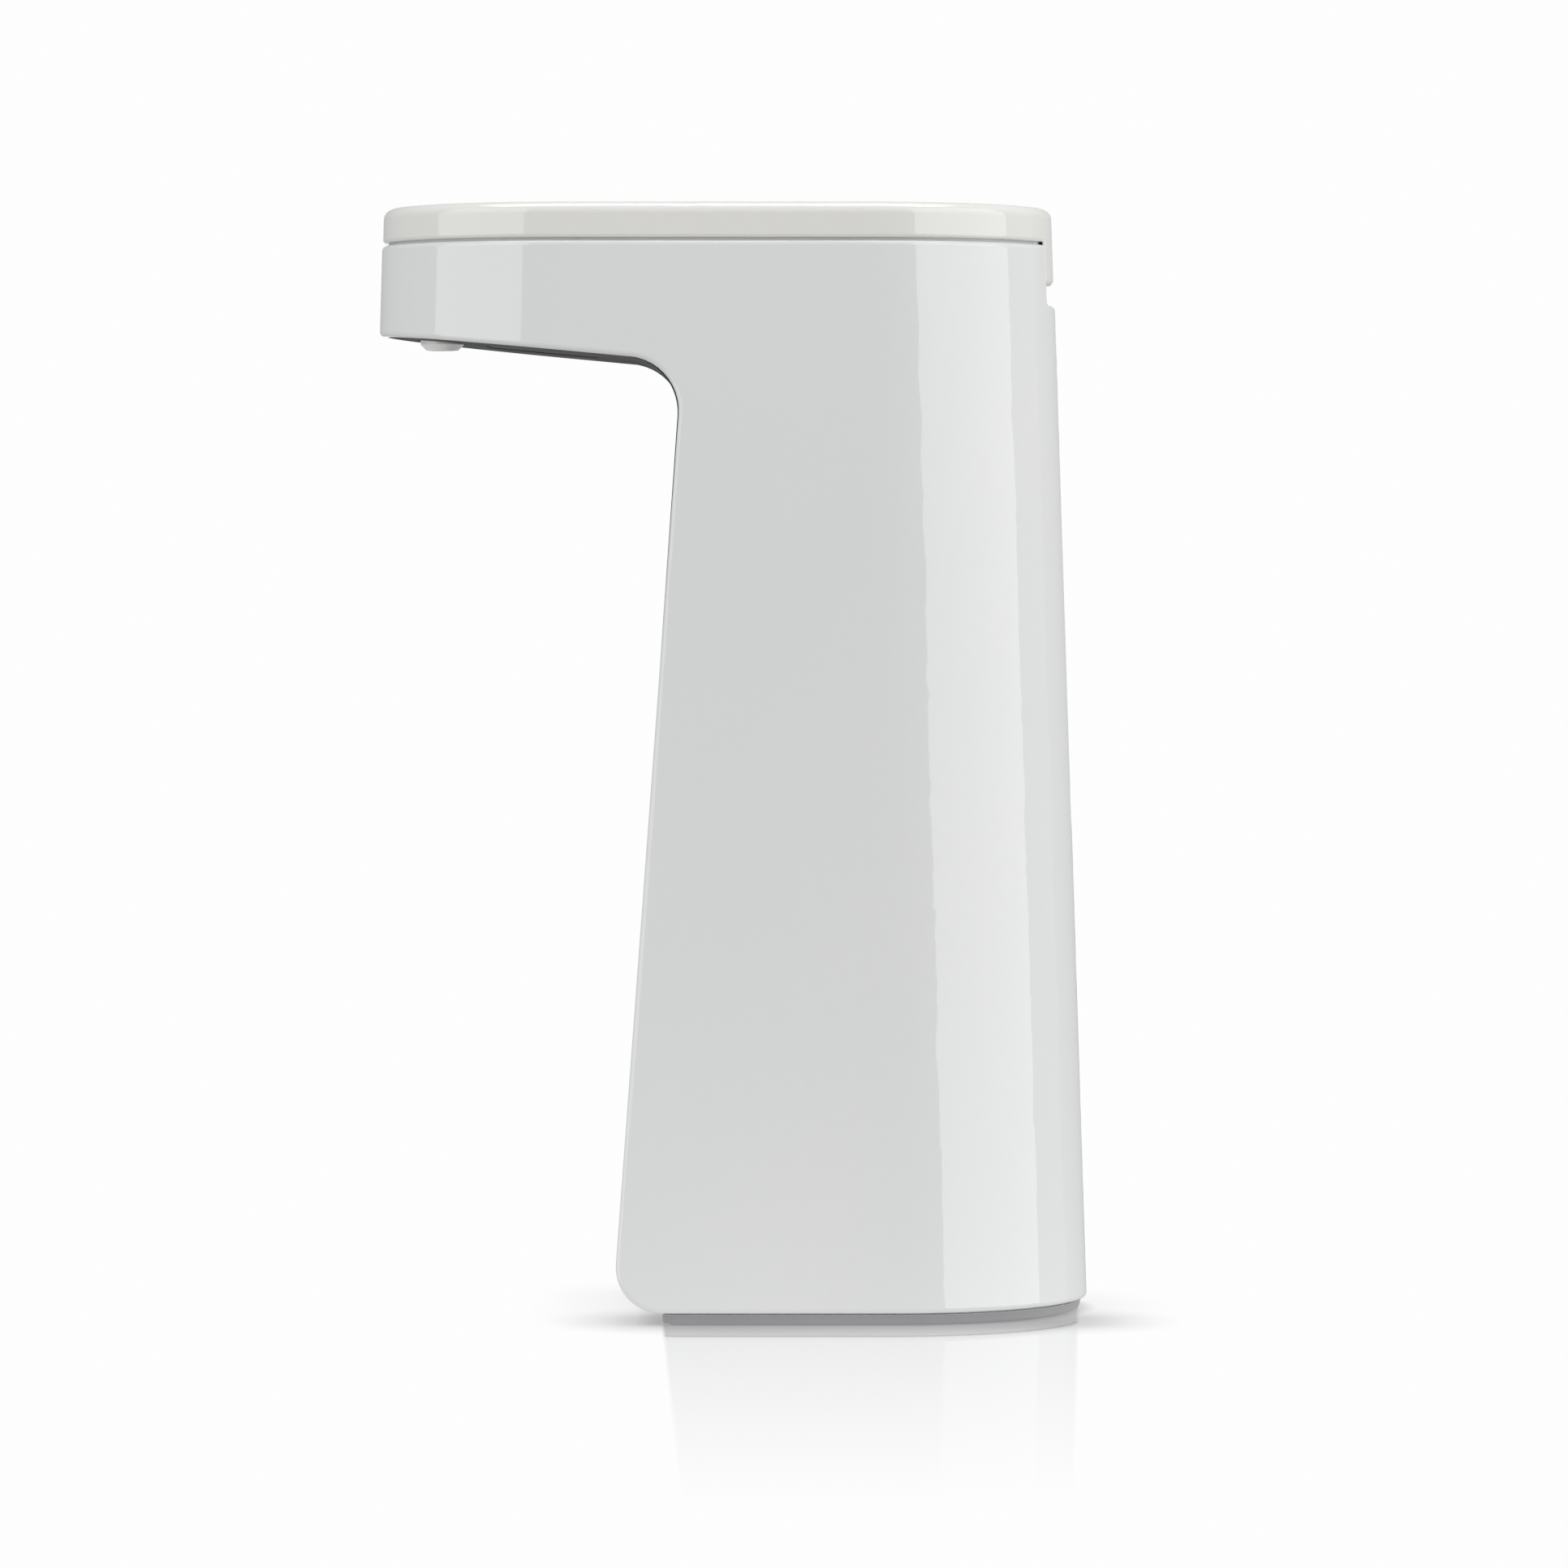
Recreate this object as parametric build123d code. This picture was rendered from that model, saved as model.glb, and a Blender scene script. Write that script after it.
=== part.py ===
from build123d import *
import math
import os

# Touch-free counter-top soap pump.  Millimetres, +Z up, nozzle side towards -Y.
# Origin: middle of the footprint box, on the surface the pump stands on.

os.makedirs("parts", exist_ok=True)

# ------------------------------------------------------------------ driving dimensions
BODY_TOP_Z = 183.4          # top edge of the white body
BODY_BOT_Z = 1.94           # underside of the white body
LID_BOT_Z = 183.8           # lower edge of the lid
LID_TOP_Z = 189.9           # top of the lid
R_TOP = 33.0                # plan end radius at the top of the body
R_SLOPE = 1.0 / 181.4       # the plan grows this much per mm going down
REAR_TIP_TOP = 55.20        # rearmost point at the top of the body
REAR_SLOPE = 0.0327         # rear line leans out going down
FRONT_TIP_TOP = -60.69      # foremost point at the top of the body
FRONT_SLOPE = 0.0286        # head front leans out going down
UNDER_Z0, UNDER_Y0, UNDER_SLOPE = 165.4, -34.8, 0.094    # head underside line
COL_Y0, COL_Z0, COL_SLOPE = -9.2, 152.6, 0.0741          # column front line
R_CORNER_IN = 9.1           # inside corner between head and column
R_CORNER_OUT = 7.8          # lower front corner of the column
WALL = 2.2                  # body wall
PANEL_T = 2.0               # dark front panel thickness
PANEL_INSET = 1.6           # white lip left round the dark panel
PANEL_UNDER = 0.02          # panel lies this deep under the head, all but flush
PANEL_PROUD = 0.17          # stands this far out at the top of the column front
PANEL_DEEP = 0.40           # and lies this deep at the foot of it
PANEL_BOT_Z = 10.0          # panel stops above the lower corner
FIT = 0.15                  # gap between moulded parts
RUN = 0.05                  # radial running clearance
SNUG = 0.02                 # radial gap of fixed fits
EDGE_R = 0.8                # lower outline edge round
TOP_EDGE_R = 0.85

HINGE_Y, HINGE_Z = 50.4, 178.8   # lid pin axis, parallel to X
PIN_R = 1.2
TAB_HALF = 10.1             # half width of the lid's rear tab
NOTCH_HALF = 10.3           # half width of the notch it sits in
NOTCH_FLOOR_Z = 173.2
TAB_BOT_Z = 176.5
POCKET_HALF = 12.6
POCKET_Y0 = 45.6
POCKET_Z0 = 171.2

NECK_INSET = 1.2            # neck seen in the gap under the lid
NECK_TOP_Z = 184.4
DECK_Z0, DECK_Z1 = 180.0, 181.5
FILL_X, FILL_Y0, FILL_Y1 = 20.0, 5.0, 43.0    # filler opening
FILL_R = 12.0
RIM_Z = 183.2

TANK_R = 28.5               # tank rear radius, also its half width
TANK_YC = 23.0
TANK_Y0 = 1.7               # tank front face
TANK_Z0, TANK_Z1 = 56.0, 167.0
TANK_T = 1.6

NOZZLE_Y = -50.3
NOZZLE_R = 3.75
NOZZLE_BOT_Z = 165.45
TUBE_Z = 176.1              # height of the tube in the head
TUBE_RO, TUBE_RI = 2.5, 1.65
TUBE_X = -8.0
RISER_Y = -1.9

PUMP_Y = 4.1
PUMP_X = -2.0               # drive shaft
IDLER_X = -14.0
MOTOR_X = 16.0
MOTOR_Y = 4.1
GEAR_M = 0.6                # reduction gear module
GEAR_T, PINION_T = 48, 12
ROTOR_M, ROTOR_T = 1.0, 12

SENSOR_Y0, SENSOR_Y1, SENSOR_X = -42.5, -23.5, 9.0
LED_Y1, LED_Y2 = -37.6, -28.4
SENSOR_PCB_Z = 172.0

BUTTON_Y = 8.0
BUTTON_ZS = {"power_button": 46.0, "volume_up_button": 34.5, "volume_down_button": 23.0}
BUTTON_R = 3.8
PCB_X0, PCB_X1 = -27.6, -26.4
PCB_Y0, PCB_Y1 = -3.0, 19.0

CELL_R, CELL_H = 5.25, 43.5
CELL_XY = [(-5.9, 28.1), (5.9, 28.1), (-5.9, 39.9), (5.9, 39.9)]
CELL_Z = 2.5
BOX_X, BOX_Y0, BOX_Y1 = 13.8, 20.2, 47.8      # battery box outside
DOOR_X, DOOR_Y0, DOOR_Y1 = 14.4, 19.6, 48.4
DOOR_SCREW_Y = 50.9

BASE_SCREWS = [(-22.5, -2.0), (22.5, -2.0), (-18.0, 42.0), (18.0, 42.0)]
BRACKET_SCREWS = [(14.5, -8.0), (-16.0, -8.0), (-19.5, 15.5), (24.0, 14.0)]


# ------------------------------------------------------------------ plain helpers
def box(x0, x1, y0, y1, z0, z1):
    return Pos((x0 + x1) / 2, (y0 + y1) / 2, (z0 + z1) / 2) * Box(x1 - x0, y1 - y0, z1 - z0)


def cyl(x, y, z0, z1, r):
    return Pos(x, y, (z0 + z1) / 2) * Cylinder(r, z1 - z0)


def cone(x, y, z0, z1, r0, r1):
    return Pos(x, y, (z0 + z1) / 2) * Cone(r0, r1, z1 - z0)


def cyl_x(x0, x1, y, z, r):
    return Pos((x0 + x1) / 2, y, z) * Rot(0, 90, 0) * Cylinder(r, x1 - x0)


def cyl_y(y0, y1, x, z, r):
    return Pos(x, (y0 + y1) / 2, z) * Rot(90, 0, 0) * Cylinder(r, y1 - y0)


def rrect(x0, x1, y0, y1, z0, z1, r):
    face = Pos((x0 + x1) / 2, (y0 + y1) / 2, z0) * RectangleRounded(x1 - x0, y1 - y0, r)
    return extrude(face, z1 - z0)


def rring(x, y0, y1, z0, z1, r, out, inn):
    """Rounded-rectangle ring: 'out' grows the outline, 'inn' is how far inside the hole is."""
    o = rrect(-x - out, x + out, y0 - out, y1 + out, z0, z1, r + out)
    i = rrect(-x + inn, x - inn, y0 + inn, y1 - inn, z0 - 1, z1 + 1, r - inn)
    return o - i


def try_fillet(solid, edges, radii, what):
    for r in radii:
        try:
            res = fillet(edges, r)
            if res.is_valid and res.volume > 0.5 * solid.volume:
                return res
        except Exception:
            pass
    print("no fillet on", what)
    return solid


def try_chamfer(solid, edges, size, what):
    try:
        res = chamfer(edges, size)
        if res.is_valid and res.volume > 0.5 * solid.volume:
            return res
    except Exception:
        pass
    print("no chamfer on", what)
    return solid


def single(shape):
    """Largest solid of a result that should be one piece."""
    ss = shape.solids()
    if len(ss) == 1:
        return ss[0]
    ss = sorted(ss, key=lambda s: s.volume)
    print("   note: kept the largest of", len(ss), "solids", [round(s.volume, 2) for s in ss])
    return ss[-1]


made = []


def out(name, shape, count=1):
    ss = shape.solids() if hasattr(shape, "solids") else [shape]
    if len(ss) != count:
        print("   WARNING", name, "has", len(ss), "solids, wanted", count, [round(s.volume, 3) for s in ss])
    shape = ss[0] if len(ss) == 1 else Compound(children=list(ss))
    shape.label = name
    export_step(shape, "parts/" + name + ".step")
    made.append(name)


# ------------------------------------------------------------------ outer form
def R(z):
    return R_TOP + (BODY_TOP_Z - z) * R_SLOPE


def yr(z):
    return REAR_TIP_TOP + (BODY_TOP_Z - z) * REAR_SLOPE - R(z)


def yf(z):
    return FRONT_TIP_TOP - (BODY_TOP_Z - z) * FRONT_SLOPE + R(z)


def stadium_wire(z, inset):
    r = R(z) - inset
    f, b = yf(z), yr(z)
    return Wire([
        Line((r, f, z), (r, b, z)),
        ThreePointArc((r, b, z), (0, b + r, z), (-r, b, z)),
        Line((-r, b, z), (-r, f, z)),
        ThreePointArc((-r, f, z), (0, f - r, z), (r, f, z)),
    ])


def stadium(z0, z1, i0=0.0, i1=None):
    i1 = i0 if i1 is None else i1
    return Solid.make_loft([stadium_wire(z0, i0), stadium_wire(z1, i1)], ruled=True)


def under_z(y, off=0.0):
    return UNDER_Z0 - UNDER_SLOPE * (y - UNDER_Y0) + off * math.hypot(1, UNDER_SLOPE)


def front_y(z, off=0.0):
    return COL_Y0 - COL_SLOPE * (COL_Z0 - z) + off * math.hypot(1, COL_SLOPE)


def corner(off):
    y = COL_Y0
    for _ in range(40):
        y = front_y(under_z(y, off), off)
    return y, under_z(y, off)


def side_prism(off, z_bot, z_top, r_out):
    """Everything behind the head underside / column front line moved inwards by off."""
    yc, zc = corner(off)
    pts = [(0, -90, z_top), (0, -90, under_z(-90, off)), (0, yc, zc),
           (0, front_y(z_bot, off), z_bot), (0, 90, z_bot), (0, 90, z_top)]
    w = FilletPolyline(*pts, radius=[0, 0, R_CORNER_IN + off, r_out, 0, 0], close=True)
    return extrude(Face(w.wire()), amount=50, dir=(1, 0, 0), both=True)


def panel_prism(z_bot, z_top, r_in, r_out):
    """Outer form of the dark panel: level under the head, leaning slightly against the column front."""
    y_top, y_bot = front_y(COL_Z0, -PANEL_PROUD), front_y(z_bot, PANEL_DEEP)
    slope = (y_top - y_bot) / (COL_Z0 - z_bot)
    y = COL_Y0
    for _ in range(40):
        y = y_top + slope * (under_z(y, PANEL_UNDER) - COL_Z0)
    pts = [(0, -90, z_top), (0, -90, under_z(-90, PANEL_UNDER)), (0, y, under_z(y, PANEL_UNDER)),
           (0, y_bot, z_bot), (0, 90, z_bot), (0, 90, z_top)]
    w = FilletPolyline(*pts, radius=[0, 0, r_in, r_out, 0, 0], close=True)
    return extrude(Face(w.wire()), amount=50, dir=(1, 0, 0), both=True)


outer_raw = stadium(BODY_BOT_Z - 5, BODY_TOP_Z + 5) & side_prism(0, BODY_BOT_Z, BODY_TOP_Z, R_CORNER_OUT)
lower = []
for e in outer_raw.edges():
    m, tg = e @ 0.5, e % 0.5
    if abs(m.Z - BODY_TOP_Z) < 1e-3:
        continue
    if abs(tg.X) > 0.999 and abs(m.X) < 1e-3 and e.geom_type == GeomType.LINE:
        continue
    if abs(tg.Z) > 0.9 and (abs(m.Y - yf(m.Z)) < 1e-2 or abs(m.Y - yr(m.Z)) < 1e-2):
        continue
    lower.append(e)
outer = fillet(lower, EDGE_R)
outer = fillet([e for e in outer.edges() if abs((e @ 0.5).Z - BODY_TOP_Z) < 1e-3 and abs((e @ 0).Z - BODY_TOP_Z) < 1e-3],
               TOP_EDGE_R)
outer_solid = single(outer)

# ------------------------------------------------------------------ body shell
cavity = stadium(-4, 192, WALL) & side_prism(PANEL_T + WALL, 4.2, 195, 3.6)
shell = outer_solid - cavity
# recess for the dark panel
recess = (stadium(PANEL_BOT_Z - 0.1, 176, PANEL_INSET - 0.1)
          & (box(-50, 50, -90, 40, PANEL_BOT_Z - 0.1, 176) - side_prism(PANEL_T + 0.05, 1, 196, 5.7)))
shell -= recess
# opening in the floor for the foot's spigot
shell -= stadium(0, 6, 3.3) & box(-50, 50, -10.5, 80, 0, 6)
# rebate for the neck of the top deck
shell -= stadium(181.5, 190, NECK_INSET - 0.08)
# hinge pocket
pocket = box(-POCKET_HALF, POCKET_HALF, POCKET_Y0, 60, POCKET_Z0, 183.0) & stadium(160, 190, 1.0)
shell += pocket
# its cheeks carry the neck line on behind the gap under the lid
shell += box(-POCKET_HALF, POCKET_HALF, HINGE_Y - 0.8, 60, 182.9, NECK_TOP_Z - 0.1) & stadium(180, 190, NECK_INSET)
shell -= box(-NOTCH_HALF, NOTCH_HALF, HINGE_Y - 3.0, 70, NOTCH_FLOOR_Z, 192)
shell -= cyl_x(-POCKET_HALF - 1, POCKET_HALF + 1, HINGE_Y, HINGE_Z, PIN_R + SNUG)
# screw bosses for the foot
for (x, y) in BASE_SCREWS:
    sx = 1 if x > 0 else -1
    shell += cyl(x, y, 3.05 + 4.2, 14.0, 3.0)
    if y < 20:
        shell += box(min(x, sx * 32.2), max(x, sx * 32.2), y - 0.8, y + 0.8, 7.25, 14.0)
    else:
        d = math.hypot(x, y - 27.1)
        a = math.degrees(math.atan2(y - 27.1, x))
        shell += Pos(0, 27.1, 10.625) * Rot(0, 0, a) * (Pos((d + 31.9) / 2, 0, 0) * Box(31.9 - d, 1.6, 6.75))
    shell -= cyl(x, y, 0, 12.5, 1.3)
# ledges that carry the tank
for sx in (-1, 1):
    shell += box(min(sx * 26.8, sx * 32.3), max(sx * 26.8, sx * 32.3), 21.8, 32.5, 53.0, 55.9)
# rails for the main board
for (y0, y1, z1) in ((-5.4, -1.8, 41.5), (17.8, 21.4, 52.2)):
    shell += box(-32.3, -25.4, y0, y1, 12.0, z1)
shell -= box(PCB_X0 - 0.12, PCB_X1 + 0.12, PCB_Y0 - 0.12, PCB_Y1 + 0.12, 11.9, 55)
# button holes
for z in BUTTON_ZS.values():
    shell -= cyl_x(-40, -29, BUTTON_Y, z, BUTTON_R + 0.2)
# nozzle hole, sensor hole
shell -= cyl(0, NOZZLE_Y, 160, 174, 4.65)
shell -= rrect(-8.0, 8.0, SENSOR_Y0 + 1, SENSOR_Y1 - 1, 160, 176, 2.0)
# posts for the sensor board
for (x, y) in ((-23.5, -41.5), (-23.5, -23.2), (9.6, -43.0), (9.6, -22.2)):
    shell += cyl(x, y, under_z(y, 3.0), SENSOR_PCB_Z, 1.7)
for (x, y) in ((-23.5, -41.5), (9.6, -22.2)):
    shell -= cyl(x, y, SENSOR_PCB_Z - 2.6, SENSOR_PCB_Z + 1, 0.85)
body_shell = single(shell)
lip = [e for e in body_shell.edges()
       if abs((e @ 0.5).Z - NOTCH_FLOOR_Z) < 0.02 and (e @ 0.5).Y > 54.5 and abs((e @ 0.5).X) < 0.5]
body_shell = try_fillet(body_shell, lip, (1.0, 0.8, 0.5), "notch lip")
# small chamfer down both upright edges of the notch
for sx in (-1, 1):
    def rear_y(x, z):
        return yr(z) + math.sqrt(R(z) ** 2 - x * x)

    pa = (NOTCH_HALF, rear_y(NOTCH_HALF, 173.3) - 0.4)
    pb = (NOTCH_HALF + 0.45, rear_y(NOTCH_HALF + 0.45, 173.3))
    u = (pb[0] - pa[0], pb[1] - pa[1])
    tri = [(pa[0] - u[0], pa[1] - u[1]), (pb[0] + u[0], pb[1] + u[1]), (pa[0] - u[0], pb[1] + u[1])]
    f = Face(Wire.make_polygon([(sx * px, py, 173.3) for px, py in tri], close=True))
    body_shell = single(body_shell - extrude(f, amount=12, dir=(0, rear_y(NOTCH_HALF, 183.3) - rear_y(NOTCH_HALF, 173.3), 10.0)))
out("body_shell", body_shell)

# ------------------------------------------------------------------ dark under/front panel
panel = (stadium(PANEL_BOT_Z, 178, PANEL_INSET)
         & (panel_prism(0.5, 190, R_CORNER_IN + 0.4, 7.8) - side_prism(PANEL_T, 0.5, 190, 5.8))
         & box(-50, 50, -90, 20, PANEL_BOT_Z, 175))
panel -= cyl(0, NOZZLE_Y, 160, 174, 4.3)
panel -= rrect(-SENSOR_X - 0.1, SENSOR_X + 0.1, SENSOR_Y0 - 0.1, SENSOR_Y1 + 0.1, 160, 176, 3.1)
out("front_panel", single(panel))

window = (rrect(-SENSOR_X, SENSOR_X, SENSOR_Y0, SENSOR_Y1, 160, 176, 3.0)
          & (side_prism(PANEL_UNDER + 0.12, 1, 190, 6) - side_prism(PANEL_T, 1, 190, 5.8)))
out("sensor_window", single(window))

# ------------------------------------------------------------------ lid
lid = stadium(LID_BOT_Z, LID_TOP_Z, 0.15)
lid = fillet([e for e in lid.edges() if abs((e @ 0.5).Z - LID_TOP_Z) < 1e-3 and abs((e @ 0.).Z - LID_TOP_Z) < 1e-3], 2.0)
lid = try_fillet(lid, [e for e in lid.edges() if abs((e @ 0.5).Z - LID_BOT_Z) < 1e-3 and abs((e @ 0.).Z - LID_BOT_Z) < 1e-3],
                 (0.65, 0.5), "lid lower edge")
lid -= stadium(LID_BOT_Z - 1, 187.7, 2.35)
lid -= stadium(LID_BOT_Z - 1, 185.0, 1.1)
tab = stadium(174, 186.5, 0.15) & box(-TAB_HALF, TAB_HALF, 53.0, 60, TAB_BOT_Z, 186.0)
tab_edge = [e for e in tab.edges() if abs((e @ 0.5).Z - TAB_BOT_Z) < 1e-3 and (e @ 0.5).Y > 54.5]
tab = try_fillet(tab, tab_edge, (1.1, 0.9), "tab lower edge")
tab_side = [e for e in tab.edges() if abs(abs((e @ 0.5).X) - TAB_HALF) < 0.02 and (e @ 0.5).Y > 53.4 and abs((e % 0.5).Z) > 0.9]
tab = try_fillet(tab, tab_side, (0.4, 0.3, 0.2), "tab sides")
knuckle = (box(-TAB_HALF, TAB_HALF, HINGE_Y, 53.4, TAB_BOT_Z, HINGE_Z + 2.3)
           + cyl_x(-TAB_HALF, TAB_HALF, HINGE_Y, HINGE_Z, 2.3))
knuckle -= box(-3.4, 3.4, HINGE_Y - 3, 53.0, 174, 183)      # cored middle: two knuckles
tab = tab + knuckle
tab -= cyl_x(-20, 20, HINGE_Y, HINGE_Z, PIN_R + RUN)
lid = lid + tab
out("lid", single(lid))

liner = stadium(186.2, 187.68, 2.5)
liner -= box(-TAB_HALF - 0.7, TAB_HALF + 0.7, 46, 60, 180, 190)
liner += rring(FILL_X, FILL_Y0, FILL_Y1, 184.7, 186.2, FILL_R, -0.3, 1.8)
liner += rring(FILL_X, FILL_Y0, FILL_Y1, 184.7, 186.2, FILL_R, 3.6, -2.1)
for x in (-16, 0, 16):
    liner += box(x - 0.6, x + 0.6, -52 + abs(x) * 0.5, 1.0, 185.2, 186.2)
out("lid_liner", single(liner))
out("lid_gasket", single(rring(FILL_X, FILL_Y0, FILL_Y1, RIM_Z + 0.02, 186.18, FILL_R, 2.0, 0.2)))

# hinge pin with a small round at each end
pin = cyl_x(-POCKET_HALF + 0.1, POCKET_HALF - 0.1, HINGE_Y, HINGE_Z, PIN_R)
pin = try_chamfer(pin, pin.edges().filter_by(GeomType.CIRCLE), 0.25, "hinge pin")
out("hinge_pin", single(pin))

# ------------------------------------------------------------------ top deck with filler
deck = stadium(DECK_Z0, DECK_Z1, WALL + FIT)
neck = stadium(DECK_Z1, NECK_TOP_Z, NECK_INSET) - stadium(DECK_Z1 - 1, NECK_TOP_Z + 1, 3.2)
neck = try_fillet(neck, [e for e in neck.edges() if abs((e @ 0.5).Z - NECK_TOP_Z) < 1e-3 and abs((e @ 0.).Z - NECK_TOP_Z) < 1e-3],
                  (0.5, 0.3), "neck top")
deck = deck + neck
sleeve_o = rrect(-FILL_X - 1.6, FILL_X + 1.6, FILL_Y0 - 1.6, FILL_Y1 + 1.6, 162.0, RIM_Z, FILL_R + 1.6)
deck = deck + sleeve_o
deck += (cyl(0, TANK_YC, 168.3, 169.9, TANK_R) & box(-40, 40, TANK_YC - 2, 60, 160, 175)) \
    + rrect(-TANK_R, TANK_R, TANK_Y0, TANK_YC + 6, 168.3, 169.9, 5.9)
deck -= rrect(-FILL_X, FILL_X, FILL_Y0, FILL_Y1, 150, 190, FILL_R)
# shallow channels moulded in the front of the deck
for y in (-44, -34, -24, -14):
    half = math.sqrt(max(0.0, 27.0 ** 2 - min(0.0, y + 27.6) ** 2)) - 3
    deck -= rrect(-half, half, y - 2.2, y + 2.2, 180.7, 182, 2.1)
deck -= box(-POCKET_HALF - 0.2, POCKET_HALF + 0.2, POCKET_Y0 - 0.2, 70, 170.6, 195)
out("top_deck", single(deck))

# ------------------------------------------------------------------ tank


def tank_form(z0, z1, grow):
    r = TANK_R + grow
    s = cyl(0, TANK_YC, z0, z1, r) & box(-50, 50, TANK_YC - 1, 90, z0, z1)
    return s + rrect(-r, r, TANK_Y0 - grow, TANK_YC + 7 + 6, z0, z1, 6.0 + grow) - (
        box(-50, 50, TANK_YC, 90, z0 - 1, z1 + 1) - cyl(0, TANK_YC, z0 - 1, z1 + 1, r))


tank = tank_form(TANK_Z0, TANK_Z1, 0)
tank = try_fillet(tank, [e for e in tank.edges() if abs((e @ 0.5).Z - TANK_Z0) < 1e-3 and abs((e @ 0.).Z - TANK_Z0) < 1e-3],
                  (1.5, 1.0), "tank floor")
tank -= tank_form(TANK_Z0 + 1.8, TANK_Z1 + 1, -TANK_T)
tank += cyl(TUBE_X, PUMP_Y + 6, 50.0, TANK_Z0 + 1.0, 1.6)
tank += cone(TUBE_X, PUMP_Y + 6, 50.0, 51.4, 1.45, 1.64)
tank -= cyl(TUBE_X, PUMP_Y + 6, 49.0, 60.0, 1.0)
# fill mark ribs on the inside of the front wall
tank += box(-6, 6, TANK_Y0 + TANK_T - 0.2, TANK_Y0 + TANK_T + 0.3, 158.0, 158.8)
out("tank", single(tank))
tank_seal = tank_form(TANK_Z1 + 0.05, 168.28, 0) - tank_form(TANK_Z1 - 1, 170, -TANK_T)
out("tank_seal", single(tank_seal))

strainer = cyl(TUBE_X, PUMP_Y + 6, TANK_Z0 + 1.82, TANK_Z0 + 2.8, 5.6)
strainer -= cyl(TUBE_X, PUMP_Y + 6, TANK_Z0 + 1.0, TANK_Z0 + 2.2, 4.6)
for k in range(6):
    a = math.radians(60 * k)
    strainer -= cyl(TUBE_X + 2.9 * math.cos(a), PUMP_Y + 6 + 2.9 * math.sin(a), 55, 62, 0.7)
strainer -= cyl(TUBE_X, PUMP_Y + 6, 55, 62, 0.7)
out("tank_strainer", single(strainer))

# ------------------------------------------------------------------ tubes
suction = cyl(TUBE_X, PUMP_Y + 6, 28.2, 54.0, TUBE_RO) - cyl(TUBE_X, PUMP_Y + 6, 27, 56, TUBE_RI)
out("suction_tube", single(suction))

tube_pts = [(TUBE_X, RISER_Y, 28.2), (TUBE_X, RISER_Y, TUBE_Z), (TUBE_X, -20.0, TUBE_Z),
            (0, -36.0, TUBE_Z), (0, -46.2, TUBE_Z)]
tube_path = FilletPolyline(*tube_pts, radius=[8.0, 20.0, 20.0])
tube_o = sweep(Plane(origin=tube_pts[0], z_dir=(0, 0, 1)) * Circle(TUBE_RO), path=tube_path)
tube_i = sweep(Plane(origin=tube_pts[0], z_dir=(0, 0, 1)) * Circle(TUBE_RI), path=tube_path)
tube = tube_o - tube_i
print("delivery tube: length", round(tube_path.length, 1), "volume", round(tube.volume, 1),
      "expected", round(math.pi * (TUBE_RO ** 2 - TUBE_RI ** 2) * tube_path.length, 1))
out("delivery_tube", single(tube))

# ------------------------------------------------------------------ nozzle
noz = cone(0, NOZZLE_Y, NOZZLE_BOT_Z, NOZZLE_BOT_Z + 1.05, 2.7, NOZZLE_R)
noz += cyl(0, NOZZLE_Y, NOZZLE_BOT_Z + 1.05, 178.8, NOZZLE_R)
noz += cyl(0, NOZZLE_Y, 171.85, 173.2, 5.4)
noz += cyl_y(NOZZLE_Y + 2, -41.0 - 0.2, 0, TUBE_Z, 1.6)
noz -= cyl(0, NOZZLE_Y, 160, 170.2, 2.3)
noz -= cyl(0, NOZZLE_Y, 165, TUBE_Z + 1.0, 1.3)
noz -= cyl_y(NOZZLE_Y, -40, 0, TUBE_Z, 1.0)
noz -= cyl(0, NOZZLE_Y, 167.25, 167.5, 5) - cyl(0, NOZZLE_Y, 167.0, 169.0, 3.66)   # fine ring line
out("nozzle", single(noz))

valve = cyl(0, NOZZLE_Y, 168.4, 170.15, 2.27)
wedge_pts = [(-2.0, 168.6), (2.0, 168.6), (0.4, 165.75), (-0.4, 165.75)]
wedge = extrude(Face(Wire.make_polygon([(px, NOZZLE_Y - 4, pz) for px, pz in wedge_pts], close=True)), amount=8, dir=(0, 1, 0))
valve += cyl(0, NOZZLE_Y, 165.75, 168.5, 1.95) & wedge
valve -= box(-0.06, 0.06, NOZZLE_Y - 1.5, NOZZLE_Y + 1.5, 165, 167.0)
valve -= cone(0, NOZZLE_Y, 166.9, 170.3, 0.2, 1.5)
out("duckbill_valve", single(valve))

grommet = cyl(0, NOZZLE_Y, 169.45, 171.1, 4.6) - cyl(0, NOZZLE_Y, 167, 172, NOZZLE_R + SNUG)
out("nozzle_grommet", single(grommet))

# ------------------------------------------------------------------ sensor group in the head
shroud = rrect(-7.8, 7.8, SENSOR_Y0 + 1.2, SENSOR_Y1 - 1.2, 160, SENSOR_PCB_Z - 0.02, 1.8) & side_prism(PANEL_T + 0.03, 1, 190, 6)
shroud -= cyl(0, LED_Y1, 160, 175, 2.6)
shroud -= cyl(0, LED_Y2, 160, 175, 2.6)
shroud -= cyl(5.6, -33.0, 160, 175, 1.6)
out("sensor_shroud", single(shroud))


def led(x, y, r, top):
    zt = SENSOR_PCB_Z - 0.02
    s = cyl(x, y, zt - top + r, zt, r)
    s += Pos(x, y, zt - top + r) * Sphere(r)
    return s - box(x - 5, x + 5, y - 5, y + 5, zt, zt + 8)


out("ir_emitter", single(led(0, LED_Y1, 2.5, 4.2)))
out("ir_receiver", single(led(0, LED_Y2, 2.5, 4.6)))
out("status_led", single(led(5.6, -33.0, 1.5, 4.0)))

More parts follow.
